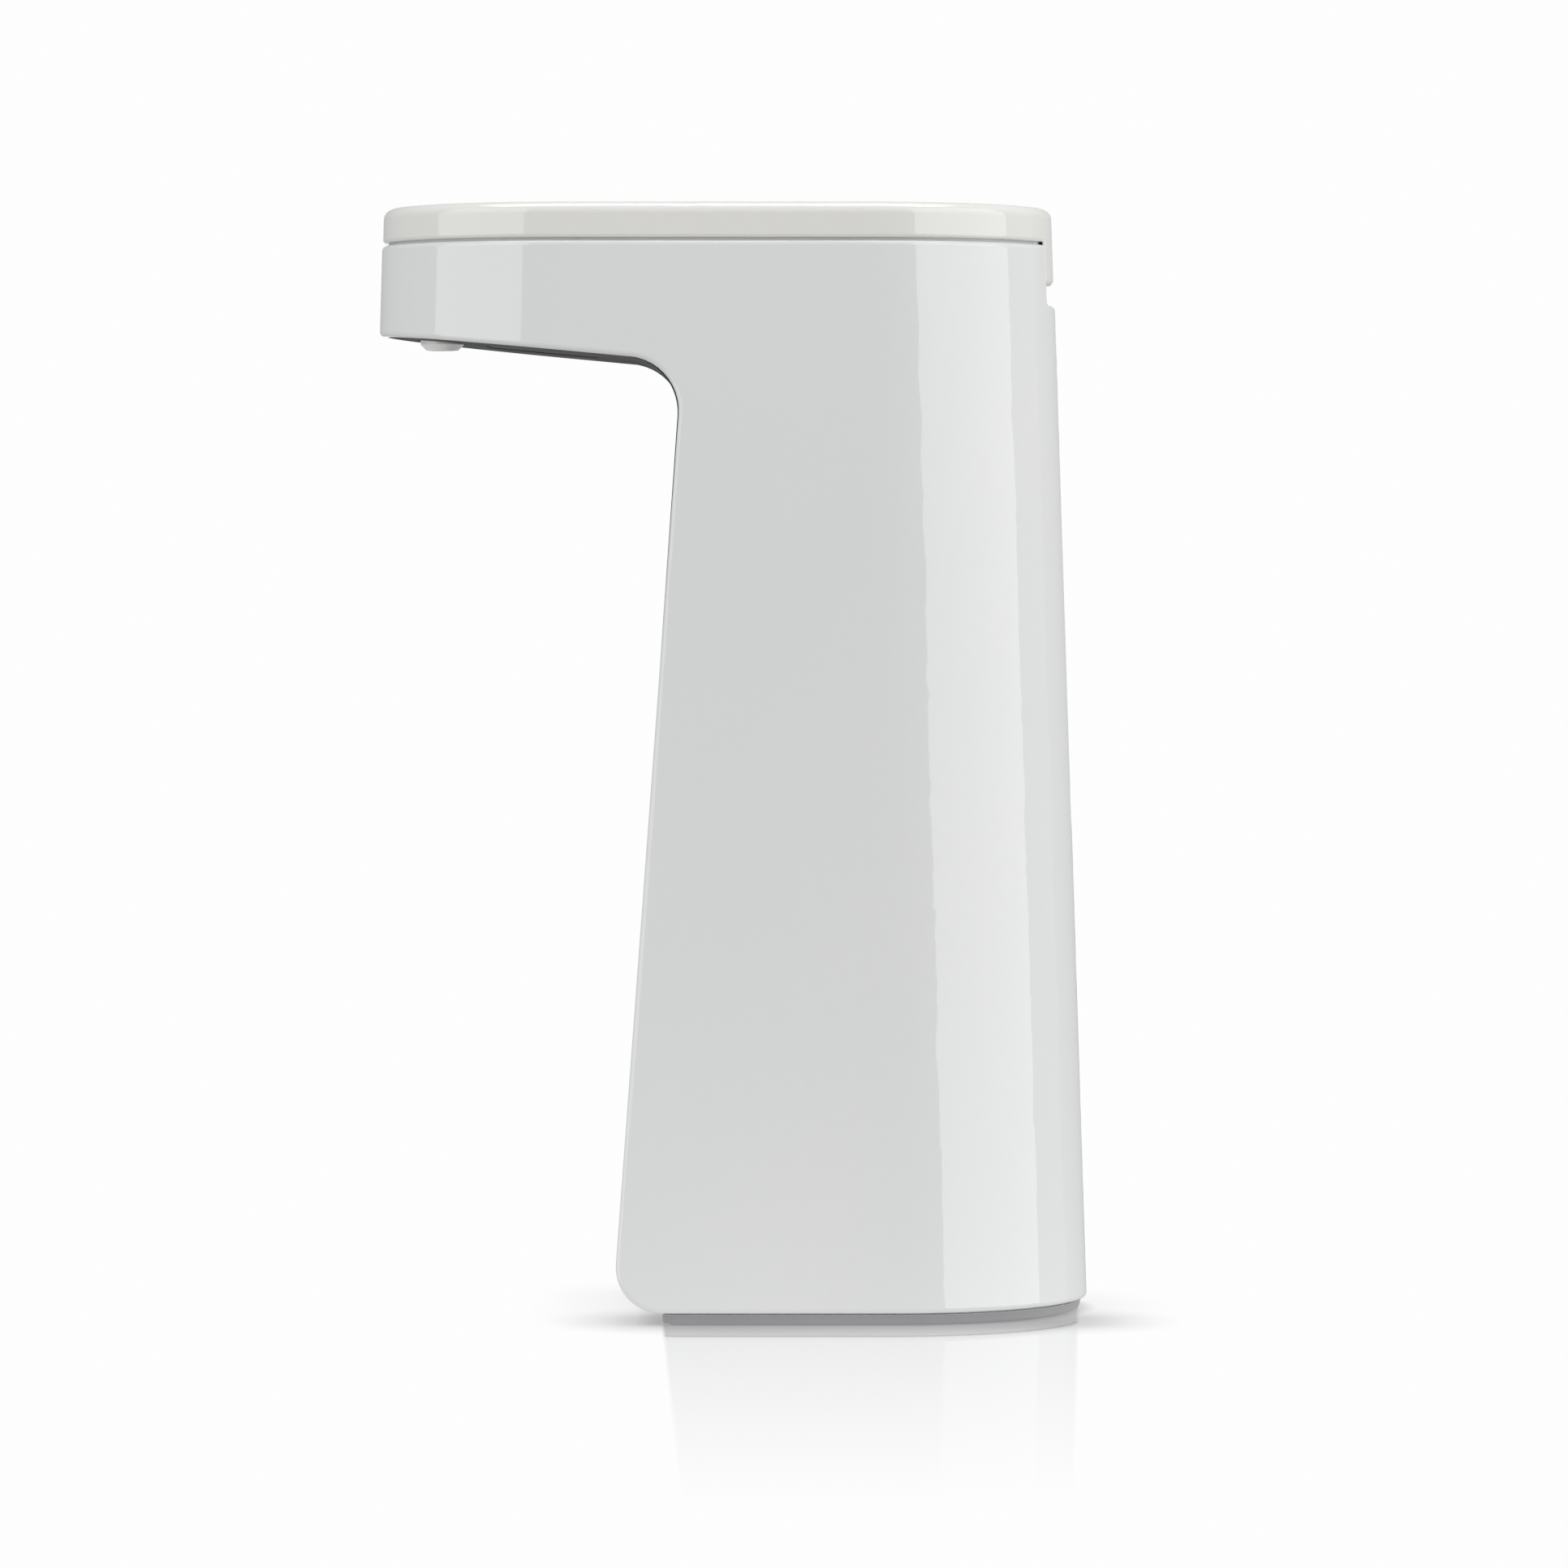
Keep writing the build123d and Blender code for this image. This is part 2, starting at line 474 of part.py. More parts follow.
spcb = rrect(-26.0, 11.6, -44.6, -20.6, SENSOR_PCB_Z, SENSOR_PCB_Z + 1.2, 1.0)
for (x, y) in ((-23.5, -41.5), (9.6, -22.2)):
    spcb -= cyl(x, y, 170, 175, 1.1)
out("sensor_pcb", single(spcb & stadium(160, 185, WALL + 0.4)))
sscrew = []
for (x, y) in ((-23.5, -41.5), (9.6, -22.2)):
    s = cyl(x, y, SENSOR_PCB_Z + 1.22, SENSOR_PCB_Z + 2.3, 1.7) + cyl(x, y, SENSOR_PCB_Z - 2.4, SENSOR_PCB_Z + 1.3, 0.8)
    s -= box(x - 1.1, x + 1.1, y - 0.2, y + 0.2, SENSOR_PCB_Z + 1.8, SENSOR_PCB_Z + 3)
    s -= box(x - 0.2, x + 0.2, y - 1.1, y + 1.1, SENSOR_PCB_Z + 1.8, SENSOR_PCB_Z + 3)
    sscrew.append(single(s))
out("sensor_screws", Compound(children=sscrew), 2)
RIB_X0, RIB_X1 = -25.8, -20.8
sconn = box(-26.0 + 0.1, -20.5, -26.0, -21.2, SENSOR_PCB_Z + 1.22, 175.2) - box(RIB_X0 - 0.05, RIB_X1 + 0.05, -24.6, -20, 173.98, 174.42)
out("sensor_connector", single(sconn & stadium(160, 185, WALL + 0.3)))

# flat cable: along the head, round one bend and down the front of the column
rp = FilletPolyline((RIB_X0, -24.5, 174.4), (RIB_X0, -2.0, 174.4), (RIB_X0, -2.0, 44.5), (RIB_X0, -2.4, 44.5),
                    (RIB_X0, -2.4, 174.0), (RIB_X0, -24.5, 174.0), radius=[0, 3.4, 0, 0, 3.0, 0], close=True)
ribbon = extrude(Face(rp.wire()), amount=RIB_X1 - RIB_X0, dir=(1, 0, 0))
out("sensor_cable", single(ribbon))

# ------------------------------------------------------------------ main board and buttons
mpcb = box(PCB_X0, PCB_X1, PCB_Y0, PCB_Y1, 12.2, 52.0)
out("main_pcb", single(mpcb))
comp = [
    box(PCB_X1 + 0.02, PCB_X1 + 1.4, 4.0, 11.0, 36.0, 43.0),
    cyl_x(PCB_X1 + 0.02, PCB_X1 + 1.9, 14.6, 45.6, 2.6),
    box(PCB_X1 + 0.02, PCB_X1 + 1.6, 12.0, 16.4, 27.0, 33.0),
    box(PCB_X1 + 0.02, PCB_X1 + 1.8, 0.6, 5.4, 47.0, 50.6),
]
for z in (24.0, 27.0, 30.0):
    comp.append(box(PCB_X1 + 0.02, PCB_X1 + 0.8, 5.0, 7.4, z, z + 1.2))
out("pcb_components", Compound(children=[single(c) for c in comp]), len(comp))
mconn = box(PCB_X1 + 0.02, RIB_X1 + 0.6, -3.4 + 0.1, -1.0, 43.0, 49.0) - box(RIB_X0 - 0.05, RIB_X1 + 0.05, -2.42, -1.98, 44.3, 50)
out("cable_connector", single(mconn))
sw = []
for z in BUTTON_ZS.values():
    sw.append(single(box(PCB_X0 - 1.35, PCB_X0 - 0.02, BUTTON_Y - 2.4, BUTTON_Y + 2.4, z - 2.4, z + 2.4)))
out("tact_switches", Compound(children=sw), 3)

for name, z in BUTTON_ZS.items():
    xo = -R(z)
    b = cyl_x(xo - 0.1, xo + WALL + 0.35, BUTTON_Y, z, BUTTON_R)
    b = try_fillet(b, [e for e in b.edges().filter_by(GeomType.CIRCLE) if (e @ 0.5).X < xo], (0.5, 0.3), name)
    b += cyl_x(xo + WALL + 0.12, xo + WALL + 0.85, BUTTON_Y, z, BUTTON_R + 0.9)
    b += cyl_x(xo + WALL + 0.8, -29.5, BUTTON_Y, z, 1.5)
    b += cyl_x(-29.6, PCB_X0 - 1.35 - 0.55, BUTTON_Y, z, 0.9)
    g0, g1 = xo - 1.0, xo - 0.05
    if name == "volume_up_button":
        b -= box(g0, g1, BUTTON_Y - 1.5, BUTTON_Y + 1.5, z - 0.25, z + 0.25)
        b -= box(g0, g1, BUTTON_Y - 0.25, BUTTON_Y + 0.25, z - 1.5, z + 1.5)
    elif name == "volume_down_button":
        b -= box(g0, g1, BUTTON_Y - 1.5, BUTTON_Y + 1.5, z - 0.25, z + 0.25)
    else:
        ring = cyl_x(g0, g1, BUTTON_Y, z, 1.65) - cyl_x(g0 - 1, g1 + 1, BUTTON_Y, z, 1.2)
        ring -= box(g0 - 1, g1 + 1, BUTTON_Y - 0.65, BUTTON_Y + 0.65, z, z + 3)
        b -= ring
        b -= box(g0, g1, BUTTON_Y - 0.22, BUTTON_Y + 0.22, z + 0.2, z + 2.0)
    out(name, single(b))


# ------------------------------------------------------------------ gears
def gear(x, y, z0, z1, m, teeth, phase_deg, add=0.8, ded=1.15, backlash=0.10, bore=0.0):
    rp_, ra, rf = m * teeth / 2, m * teeth / 2 + add * m, m * teeth / 2 - ded * m
    rb = rp_ * math.cos(math.radians(20))
    inv = math.tan(math.radians(20)) - math.radians(20)
    half_p = math.pi / (2 * teeth) - backlash / (2 * rp_)

    def half(r):
        if r <= rb:
            return half_p + inv
        a = math.acos(rb / r)
        return half_p + inv - (math.tan(a) - a)

    rs = [rf, max(rb, rf) + 0.001] + [max(rb, rf) + (ra - max(rb, rf)) * k for k in (0.3, 0.65, 1.0)]
    pts = []
    for k in range(teeth):
        c = math.radians(phase_deg) + 2 * math.pi * k / teeth
        for r in rs:
            pts.append((x + r * math.cos(c - half(r)), y + r * math.sin(c - half(r)), z0))
        for r in reversed(rs):
            pts.append((x + r * math.cos(c + half(r)), y + r * math.sin(c + half(r)), z0))
    face = Face(Wire.make_polygon(pts, close=True))
    g = extrude(face, amount=z1 - z0, dir=(0, 0, 1))
    if bore:
        g -= cyl(x, y, z0 - 1, z1 + 1, bore)
    return g


# reduction gear with lightening holes, and the motor pinion in mesh with it
rg = gear(PUMP_X, PUMP_Y, 8.6, 12.2, GEAR_M, GEAR_T, 0.0)
rg += cyl(PUMP_X, PUMP_Y, 7.8, 13.4, 3.6)
rg -= cyl(PUMP_X, PUMP_Y, 7, 15, 1.5 + SNUG)
for k in range(4):
    a = math.radians(45 + 90 * k)
    rg -= cyl(PUMP_X + 8.6 * math.cos(a), PUMP_Y + 8.6 * math.sin(a), 7, 14, 3.0)
out("reduction_gear", single(rg))
mp = gear(MOTOR_X, MOTOR_Y, 8.2, 12.6, GEAR_M, PINION_T, 180.0 + 180.0 / PINION_T, bore=1.0 + SNUG)
out("motor_pinion", single(mp))

# gear pump
ROT_RA = ROTOR_M * ROTOR_T / 2 + 0.8 * ROTOR_M
dr = gear(PUMP_X, PUMP_Y, 18.05, 23.95, ROTOR_M, ROTOR_T, 0.0, backlash=0.12, bore=1.5 + SNUG)
out("drive_rotor", single(dr))
ir = gear(IDLER_X, PUMP_Y, 18.05, 23.95, ROTOR_M, ROTOR_T, 180.0 / ROTOR_T, backlash=0.12, bore=1.5 + RUN)
out("driven_rotor", single(ir))
out("pump_shaft", single(cyl(PUMP_X, PUMP_Y, 7.2, 26.0, 1.5)))
out("idler_pin", single(cyl(IDLER_X, PUMP_Y, 16.9, 26.0, 1.5)))


def pump_plan(z0, z1, r):
    return (cyl(PUMP_X, PUMP_Y, z0, z1, r) + cyl(IDLER_X, PUMP_Y, z0, z1, r)
            + box(IDLER_X, PUMP_X, PUMP_Y - r, PUMP_Y + r, z0, z1))


PUMP_SCREWS = [(IDLER_X - 6.2, PUMP_Y + 6.2), (IDLER_X - 6.2, PUMP_Y - 6.2), (PUMP_X + 6.2, PUMP_Y + 6.2), (PUMP_X + 6.2, PUMP_Y - 6.2)]
pb = pump_plan(16.02, 24.0, 9.1)
for (x, y) in PUMP_SCREWS:
    pb += cyl(x, y, 16.02, 24.0, 2.0)
pb -= cyl(PUMP_X, PUMP_Y, 18.0, 25, ROT_RA + 0.08) + cyl(IDLER_X, PUMP_Y, 18.0, 25, ROT_RA + 0.08)
for dy in (-6.0, 6.0):
    pb -= cyl(TUBE_X, PUMP_Y + dy, 18.0, 25, 1.6)
    pb -= box(TUBE_X - 1.6, TUBE_X + 1.6, min(PUMP_Y + dy, PUMP_Y + dy * 0.5), max(PUMP_Y + dy, PUMP_Y + dy * 0.5), 18.0, 25)
pb -= cyl(PUMP_X, PUMP_Y, 15, 19, 1.5 + RUN)
pb -= cyl(PUMP_X, PUMP_Y, 15, 17.2, 3.1)
pb -= cyl(IDLER_X, PUMP_Y, 16.85, 19, 1.5 + SNUG)
for (x, y) in PUMP_SCREWS:
    pb -= cyl(x, y, 17.0, 25, 0.85)
out("pump_body", single(pb))
out("shaft_seal", single(cyl(PUMP_X, PUMP_Y, 16.04, 17.15, 3.05) - cyl(PUMP_X, PUMP_Y, 15, 18, 1.5 + RUN)))

gasket = pump_plan(24.02, 24.4, 9.1) - pump_plan(23, 26, 7.6)
for (x, y) in PUMP_SCREWS:
    gasket += cyl(x, y, 24.02, 24.4, 2.0)
    gasket -= cyl(x, y, 23, 26, 1.1)
gasket -= pump_plan(23, 26, 7.6)
out("pump_gasket", single(gasket))
pc = pump_plan(24.42, 27.4, 9.1) + pump_plan(24.05, 24.5, 7.4)
for (x, y) in PUMP_SCREWS:
    pc += cyl(x, y, 24.42, 27.4, 2.0)
for yy in (RISER_Y, PUMP_Y + 6.0):
    pc += cyl(TUBE_X, yy, 27.0, 34.0, 1.6)
    pc -= cyl(TUBE_X, yy, 23, 35, 1.0)
pc -= cyl(PUMP_X, PUMP_Y, 23, 26.3, 1.5 + RUN)
pc -= cyl(IDLER_X, PUMP_Y, 23, 26.3, 1.5 + SNUG)
for (x, y) in PUMP_SCREWS:
    pc -= cyl(x, y, 23, 30, 1.1)
out("pump_cover", single(pc))


def screw(x, y, z_head, z_end, r_head, h_head, r_shank):
    """Pan-head screw driven downwards (z_end below the head) or upwards (z_end above it)."""
    if z_end < z_head:
        s = cyl(x, y, z_head, z_head + h_head, r_head) + cyl(x, y, z_end, z_head + 0.1, r_shank)
        a, b = z_head + h_head * 0.45, z_head + h_head + 1
    else:
        s = cyl(x, y, z_head - h_head, z_head, r_head) + cyl(x, y, z_head - 0.1, z_end, r_shank)
        a, b = z_head - h_head - 1, z_head - h_head * 0.45
    w = r_head * 0.16
    s -= box(x - r_head * 0.65, x + r_head * 0.65, y - w, y + w, a, b)
    s -= box(x - w, x + w, y - r_head * 0.65, y + r_head * 0.65, a, b)
    return single(s)


out("pump_screws", Compound(children=[screw(x, y, 27.42, 17.4, 1.8, 1.2, 0.8) for x, y in PUMP_SCREWS]), 4)

# motor
can = cyl(MOTOR_X, MOTOR_Y, 16.02, 38.0, 10.0) & box(MOTOR_X - 7.6, MOTOR_X + 7.6, -20, 30, 15, 45)
can = try_fillet(can, [e for e in can.edges() if abs((e @ 0.5).Z - 38.0) < 1e-3 and abs((e @ 0.).Z - 38.0) < 1e-3], (0.8, 0.5), "motor can")
can += cyl(MOTOR_X, MOTOR_Y, 14.6, 16.2, 3.0)
can -= cyl(MOTOR_X, MOTOR_Y, 14, 17.6, 1.0 + RUN)
can -= cyl(MOTOR_X, MOTOR_Y, 17.6, 37.0, 9.0) & box(MOTOR_X - 6.8, MOTOR_X + 6.8, -20, 30, 15, 45)
can -= cyl(MOTOR_X, MOTOR_Y, 36.5, 40, 1.0 + RUN)
for dx in (-5.2, 5.2):
    can -= cyl(MOTOR_X + dx, MOTOR_Y, 15, 17.6, 0.85)
out("motor_can", single(can))
cap = cyl(MOTOR_X, MOTOR_Y, 38.02, 40.4, 9.4) & box(MOTOR_X - 7.2, MOTOR_X + 7.2, -20, 30, 37, 45)
cap += cyl(MOTOR_X, MOTOR_Y, 40.3, 41.6, 2.6)
cap -= cyl(MOTOR_X, MOTOR_Y, 37, 41.0, 1.0 + RUN)
for dy in (-6.0, 6.0):
    cap += box(MOTOR_X - 1.0, MOTOR_X + 1.0, MOTOR_Y + dy - 0.25, MOTOR_Y + dy + 0.25, 40.3, 43.0)
out("motor_end_cap", single(cap))
arm = cyl(MOTOR_X, MOTOR_Y, 19.0, 35.5, 6.2) + cyl(MOTOR_X, MOTOR_Y, 7.9, 40.6, 1.0)
out("motor_rotor", single(arm))
out("motor_screws", Compound(children=[screw(MOTOR_X + dx, MOTOR_Y, 13.98, 17.3, 1.6, 1.1, 0.8) for dx in (-5.2, 5.2)]), 2)

# bracket that carries the motor and the pump
br = rrect(-24.5, 28.0, -10.6, 18.8, 14.0, 16.0, 3.0)
br -= cyl(PUMP_X, PUMP_Y, 13, 17, 2.4)
br -= cyl(MOTOR_X, MOTOR_Y, 13, 17, 3.1)
for dx in (-5.2, 5.2):
    br -= cyl(MOTOR_X + dx, MOTOR_Y, 13, 17, 1.0)
for (x, y) in BRACKET_SCREWS:
    br -= cyl(x, y, 13, 17, 1.2)
br -= box(-24.6, -24.0, -20, 30, 13, 17)
out("drive_bracket", single(br))
out("bracket_screws", Compound(children=[screw(x, y, 16.02, 8.0, 1.9, 1.3, 0.95) for x, y in BRACKET_SCREWS]), 4)

# ------------------------------------------------------------------ foot


def foot_form(z0, z1, i0, i1, y0, r):
    s = stadium(z0, z1, i0, i1) & box(-60, 60, y0, 90, z0, z1)
    vert = [e for e in s.edges() if abs((e @ 0.5).Y - y0) < 1e-3 and abs((e % 0.5).Z) > 0.9]
    return try_fillet(s, vert, (r,), "foot corner") if r else s


foot = foot_form(0.12, BODY_BOT_Z - 0.3, 1.45, 1.0, -11.9, 2.5)
foot = try_fillet(foot, [e for e in foot.edges() if abs((e @ 0.5).Z - 0.12) < 1e-3 and abs((e @ 0.).Z - 0.12) < 1e-3], (0.3,), "foot edge")
foot += foot_form(BODY_BOT_Z - 0.4, BODY_BOT_Z - 0.04, 2.1, 2.1, -11.0, 1.8)     # shadow line under the body
foot += foot_form(1.5, 7.0, 3.5, 3.5, -10.3, 1.5) - foot_form(3.0, 8.0, 5.3, 5.3, -8.5, 1.0)
for (x, y) in BASE_SCREWS:
    foot += cyl(x, y, 1.0, 7.2, 3.2)
for (x, y) in BRACKET_SCREWS:
    foot += cyl(x, y, 1.0, 13.98, 2.2)
    foot -= cyl(x, y, 7.6, 15, 1.0)
foot += cyl(0, DOOR_SCREW_Y, 1.0, 8.0, 2.6)
for (x, y) in BASE_SCREWS:
    foot -= cyl(x, y, -1, 4.4, 2.6)
    foot -= cyl(x, y, -1, 8, 1.4)
# battery door recess and opening
foot -= rrect(-DOOR_X - FIT, DOOR_X + FIT, DOOR_Y0 - FIT, DOOR_Y1 + FIT, -1, 1.85, 2.5 + FIT)
foot -= rrect(-4.2, 4.2, DOOR_Y1 - 4, DOOR_SCREW_Y + 2.75, -1, 1.85, 2.4)
foot -= rrect(-12.5, 12.5, 21.5, 46.5, -1, 4, 1.5)
foot -= cyl(0, DOOR_SCREW_Y, 0, 7.0, 1.0)
# groove for the rubber foot ring
ring_cut = foot_form(-0.5, 0.95, 2.5, 2.5, -10.6, 1.5) - foot_form(-1.0, 2.0, 7.1, 7.1, -5.9, 1.0)
foot -= ring_cut
out("base_cap", single(foot))
ring = foot_form(0.0, 0.93, 2.6, 2.6, -10.5, 1.5) - foot_form(-1.0, 2.0, 7.0, 7.0, -6.0, 1.0)
ring = try_fillet(ring, [e for e in ring.edges() if abs((e @ 0.5).Z) < 1e-3 and abs((e @ 0.).Z) < 1e-3], (0.15,), "foot ring edge")
out("foot_ring", single(ring))
out("base_screws", Compound(children=[screw(x, y, 4.38, 12.2, 2.3, 1.6, 1.2) for x, y in BASE_SCREWS]), 4)

# ------------------------------------------------------------------ battery door
door = rrect(-DOOR_X, DOOR_X, DOOR_Y0, DOOR_Y1, 0.45, 1.78, 2.5)
door += rrect(-4.0, 4.0, DOOR_Y1 - 4, DOOR_SCREW_Y + 2.6, 0.45, 1.78, 2.3)
door = try_chamfer(door, [e for e in door.edges() if abs((e @ 0.5).Z - 0.45) < 1e-3 and abs((e @ 0.).Z - 0.45) < 1e-3], 0.2, "door edge")
door -= rring(13.2, 20.8, 47.2, 1.3, 3.0, 2.0, 0.35, 0.35)
door -= cyl(0, DOOR_SCREW_Y, 0, 3, 1.15)
door -= cyl(0, DOOR_SCREW_Y, 0, 1.05, 2.2)
for x in (-6, -3, 0, 3, 6):
    door -= box(x - 0.45, x + 0.45, 23.0, 28.0, 0.2, 0.75)       # finger grip ribs
out("battery_door", single(door))
out("door_gasket", single(rring(13.2, 20.8, 47.2, 1.32, 1.83, 2.0, 0.32, 0.32)))
out("door_screw", screw(0, DOOR_SCREW_Y, 1.03, 5.6, 2.05, 0.55, 0.95))
dc = []
for y in (28.1, 39.9):
    c = box(-10.4, 10.4, y - 3.0, y + 3.0, 1.8, 2.1)
    dc.append(single(c))
out("door_contacts", Compound(children=dc), 2)

# ------------------------------------------------------------------ battery box, cells, contacts
bx = rrect(-BOX_X, BOX_X, BOX_Y0, BOX_Y1, 3.02, 52.0, 2.5) - rrect(-12.4, 12.4, 21.6, 46.4, 2, 50.6, 1.2)
bx += box(-12.6, -11.9, 33.6, 34.4, 3.02, 50.7) + box(11.9, 12.6, 33.6, 34.4, 3.02, 50.7)
out("battery_box", single(bx))
cells = []
for i, (x, y) in enumerate(CELL_XY):
    up = i in (0, 3)
    body = cyl(x, y, CELL_Z + (0 if up else 1.0), CELL_Z + CELL_H + (0 if up else 1.0), CELL_R)
    body = try_fillet(body, body.edges().filter_by(GeomType.CIRCLE), (0.5,), "cell")
    if up:
        body += cyl(x, y, CELL_Z + CELL_H - 0.1, CELL_Z + CELL_H + 1.0, 1.9)
    else:
        body += cyl(x, y, CELL_Z, CELL_Z + 1.1, 1.9)
    cells.append(single(body))
out("battery_cells", Compound(children=cells), 4)
sp = []
for i, (x, y) in enumerate(CELL_XY):
    z0 = CELL_Z + CELL_H + 1.0 + 0.35
    path = Pos(x, y, z0) * Helix(pitch=1.15, height=2.6, radius=2.6)
    try:
        coil = sweep(Plane(origin=path @ 0, z_dir=path % 0) * Circle(0.3), path=path)
        if not coil.is_valid:
            raise ValueError
    except Exception:
        coil = cyl(x, y, z0, z0 + 2.6, 2.9) - cyl(x, y, z0 - 1, z0 + 4, 2.3)
    sp.append(single(coil))
out("contact_springs", Compound(children=sp), 4)
cp = [single(box(-10.6, -1.2, 24.6, 43.4, 50.3, 50.58)), single(box(1.2, 10.6, 24.6, 43.4, 50.3, 50.58))]
out("contact_plates", Compound(children=cp), 2)

print("made", len(made), "nodes")
bb = Compound(children=[body_shell]).bounding_box()
print("body box", bb.min, bb.max)
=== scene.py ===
import bpy
import math
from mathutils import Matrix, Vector

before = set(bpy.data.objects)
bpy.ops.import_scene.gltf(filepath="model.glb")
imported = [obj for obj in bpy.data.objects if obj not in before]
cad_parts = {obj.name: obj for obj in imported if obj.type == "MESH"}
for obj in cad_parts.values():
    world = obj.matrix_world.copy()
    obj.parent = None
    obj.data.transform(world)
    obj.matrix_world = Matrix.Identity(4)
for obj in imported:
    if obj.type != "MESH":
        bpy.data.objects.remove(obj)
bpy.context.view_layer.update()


MM = 0.001

# ------------------------------------------------------------------ materials
def srgb(r, g, b):
    def f(c):
        c = c / 255.0
        return c / 12.92 if c <= 0.04045 else ((c + 0.055) / 1.055) ** 2.4
    return (f(r), f(g), f(b), 1.0)


class Mat:
    """Small builder for a procedural material on object coordinates (metres)."""

    def __init__(self, name, base, rough, **consts):
        self.m = bpy.data.materials.new(name)
        self.m.use_nodes = True
        self.nt = self.m.node_tree
        self.nt.nodes.clear()
        self.out = self.nt.nodes.new("ShaderNodeOutputMaterial")
        self.p = self.nt.nodes.new("ShaderNodeBsdfPrincipled")
        self.nt.links.new(self.p.outputs[0], self.out.inputs[0])
        self.p.inputs["Base Color"].default_value = base
        self.p.inputs["Roughness"].default_value = rough
        for k, v in consts.items():
            self.p.inputs[k.replace("_", " ")].default_value = v
        self.tc = self.nt.nodes.new("ShaderNodeTexCoord")
        self.base, self.rough = base, rough
        self.col = None
        self.bumps = []
        self.normal = None

    def n(self, kind, **kw):
        x = self.nt.nodes.new("ShaderNode" + kind)
        for k, v in kw.items():
            setattr(x, k, v)
        return x

    def link(self, a, b):
        self.nt.links.new(a, b)

    def coords(self, scale=(1, 1, 1)):
        if scale == (1, 1, 1):
            return self.tc.outputs["Object"]
        mp = self.n("Mapping")
        mp.inputs["Scale"].default_value = scale
        self.link(self.tc.outputs["Object"], mp.inputs["Vector"])
        return mp.outputs[0]

    def noise(self, size, detail=2.0, rough=0.5, distortion=0.0, stretch=(1, 1, 1)):
        t = self.n("TexNoise")
        t.inputs["Scale"].default_value = 1.0 / size
        t.inputs["Detail"].default_value = detail
        t.inputs["Roughness"].default_value = rough
        t.inputs["Distortion"].default_value = distortion
        self.link(self.coords(stretch), t.inputs["Vector"])
        return t.outputs["Fac"]

    def ramp(self, fac, stops, interp="LINEAR"):
        r = self.n("ValToRGB")
        r.color_ramp.interpolation = interp
        e = r.color_ramp.elements
        while len(e) > 1:
            e.remove(e[-1])
        e[0].position, e[0].color = stops[0][0], stops[0][1]
        for pos, c in stops[1:]:
            x = e.new(pos)
            x.color = c
        self.link(fac, r.inputs[0])
        return r.outputs[0]

    def maprange(self, fac, a, b, c, d, smooth=False):
        r = self.n("MapRange")
        if smooth:
            r.interpolation_type = "SMOOTHSTEP"
        for i, v in zip((1, 2, 3, 4), (a, b, c, d)):
            r.inputs[i].default_value = v
        self.link(fac, r.inputs[0])
        return r.outputs[0]

    def tint(self, fac, other, amount_lo, amount_hi, lo=0.35, hi=0.65):
        """Mix the base colour towards another by a noise."""
        mx = self.n("Mix", data_type="RGBA")
        mx.inputs["A"].default_value = self.base
        mx.inputs["B"].default_value = other
        if self.col is not None:
            self.link(self.col, mx.inputs["A"])
        self.link(self.maprange(fac, lo, hi, amount_lo, amount_hi), mx.inputs["Factor"])
        self.col = mx.outputs["Result"]
        self.link(self.col, self.p.inputs["Base Color"])
        return self

    def roughness(self, fac, r0, r1, lo=0.3, hi=0.7):
        self.link(self.maprange(fac, lo, hi, r0, r1), self.p.inputs["Roughness"])
        return self

    def bump(self, fac, height_mm, strength=1.0, coat=False):
        b = self.n("Bump")
        b.inputs["Strength"].default_value = strength
        b.inputs["Distance"].default_value = height_mm * MM
        self.link(fac, b.inputs["Height"])
        if self.normal is not None:
            self.link(self.normal, b.inputs["Normal"])
        self.normal = b.outputs[0]
        self.link(self.normal, self.p.inputs["Normal"])
        if coat:
            self.link(self.normal, self.p.inputs["Coat Normal"])
        return self


def white_plastic(name, base, warm):
    """High-gloss moulded white plastic: faint flow mottling, dust-fine haze, very slight surface ripple."""
    m = Mat(name, base, 0.30, IOR=1.5, Specular_IOR_Level=0.15, Coat_Weight=1.0, Coat_Roughness=0.03, Coat_IOR=1.68)
    flow = m.noise(0.055, 2.0, 0.5)
    m.tint(flow, warm, 0.0, 0.4)
    fine = m.noise(0.0022, 3.0, 0.6)
    m.tint(fine, (base[0] * 0.965, base[1] * 0.965, base[2] * 0.965, 1), 0.0, 0.4, 0.45, 0.85)
    haze = m.noise(0.02, 2.0, 0.5)
    m.roughness(haze, 0.285, 0.36)
    m.bump(m.noise(0.009, 1.0, 0.4), 0.0012)
    return m.m


MATS = {}
MATS["white_shell"] = white_plastic("gloss_white_shell", srgb(232, 233, 232), srgb(228, 231, 231))
MATS["white_lid"] = white_plastic("gloss_white_lid", srgb(234, 233, 229), srgb(231, 231, 226))
# painted light: the nozzle's white is set lighter than the shell's to offset the shade on its downward faces under the
# head
MATS["white_nozzle"] = white_plastic("gloss_white_nozzle", srgb(252, 252, 249), srgb(247, 248, 246))
MATS["white_button"] = white_plastic("gloss_white_button", srgb(231, 232, 231), srgb(226, 228, 228))


def simple(name, base, rough, tint_to, size, amount=0.5, r=(0.0, 0.0), bump=0.0, bump_size=0.0008, **consts):
    m = Mat(name, base, rough, **consts)
    m.tint(m.noise(size, 4.0, 0.6, 0.5), tint_to, 0.0, amount)
    m.roughness(m.noise(size * 0.4, 3.0, 0.6), r[0] or rough * 0.85, r[1] or rough * 1.15)
    if bump:
        m.bump(m.noise(bump_size, 2.0, 0.55), bump)
    return m.m


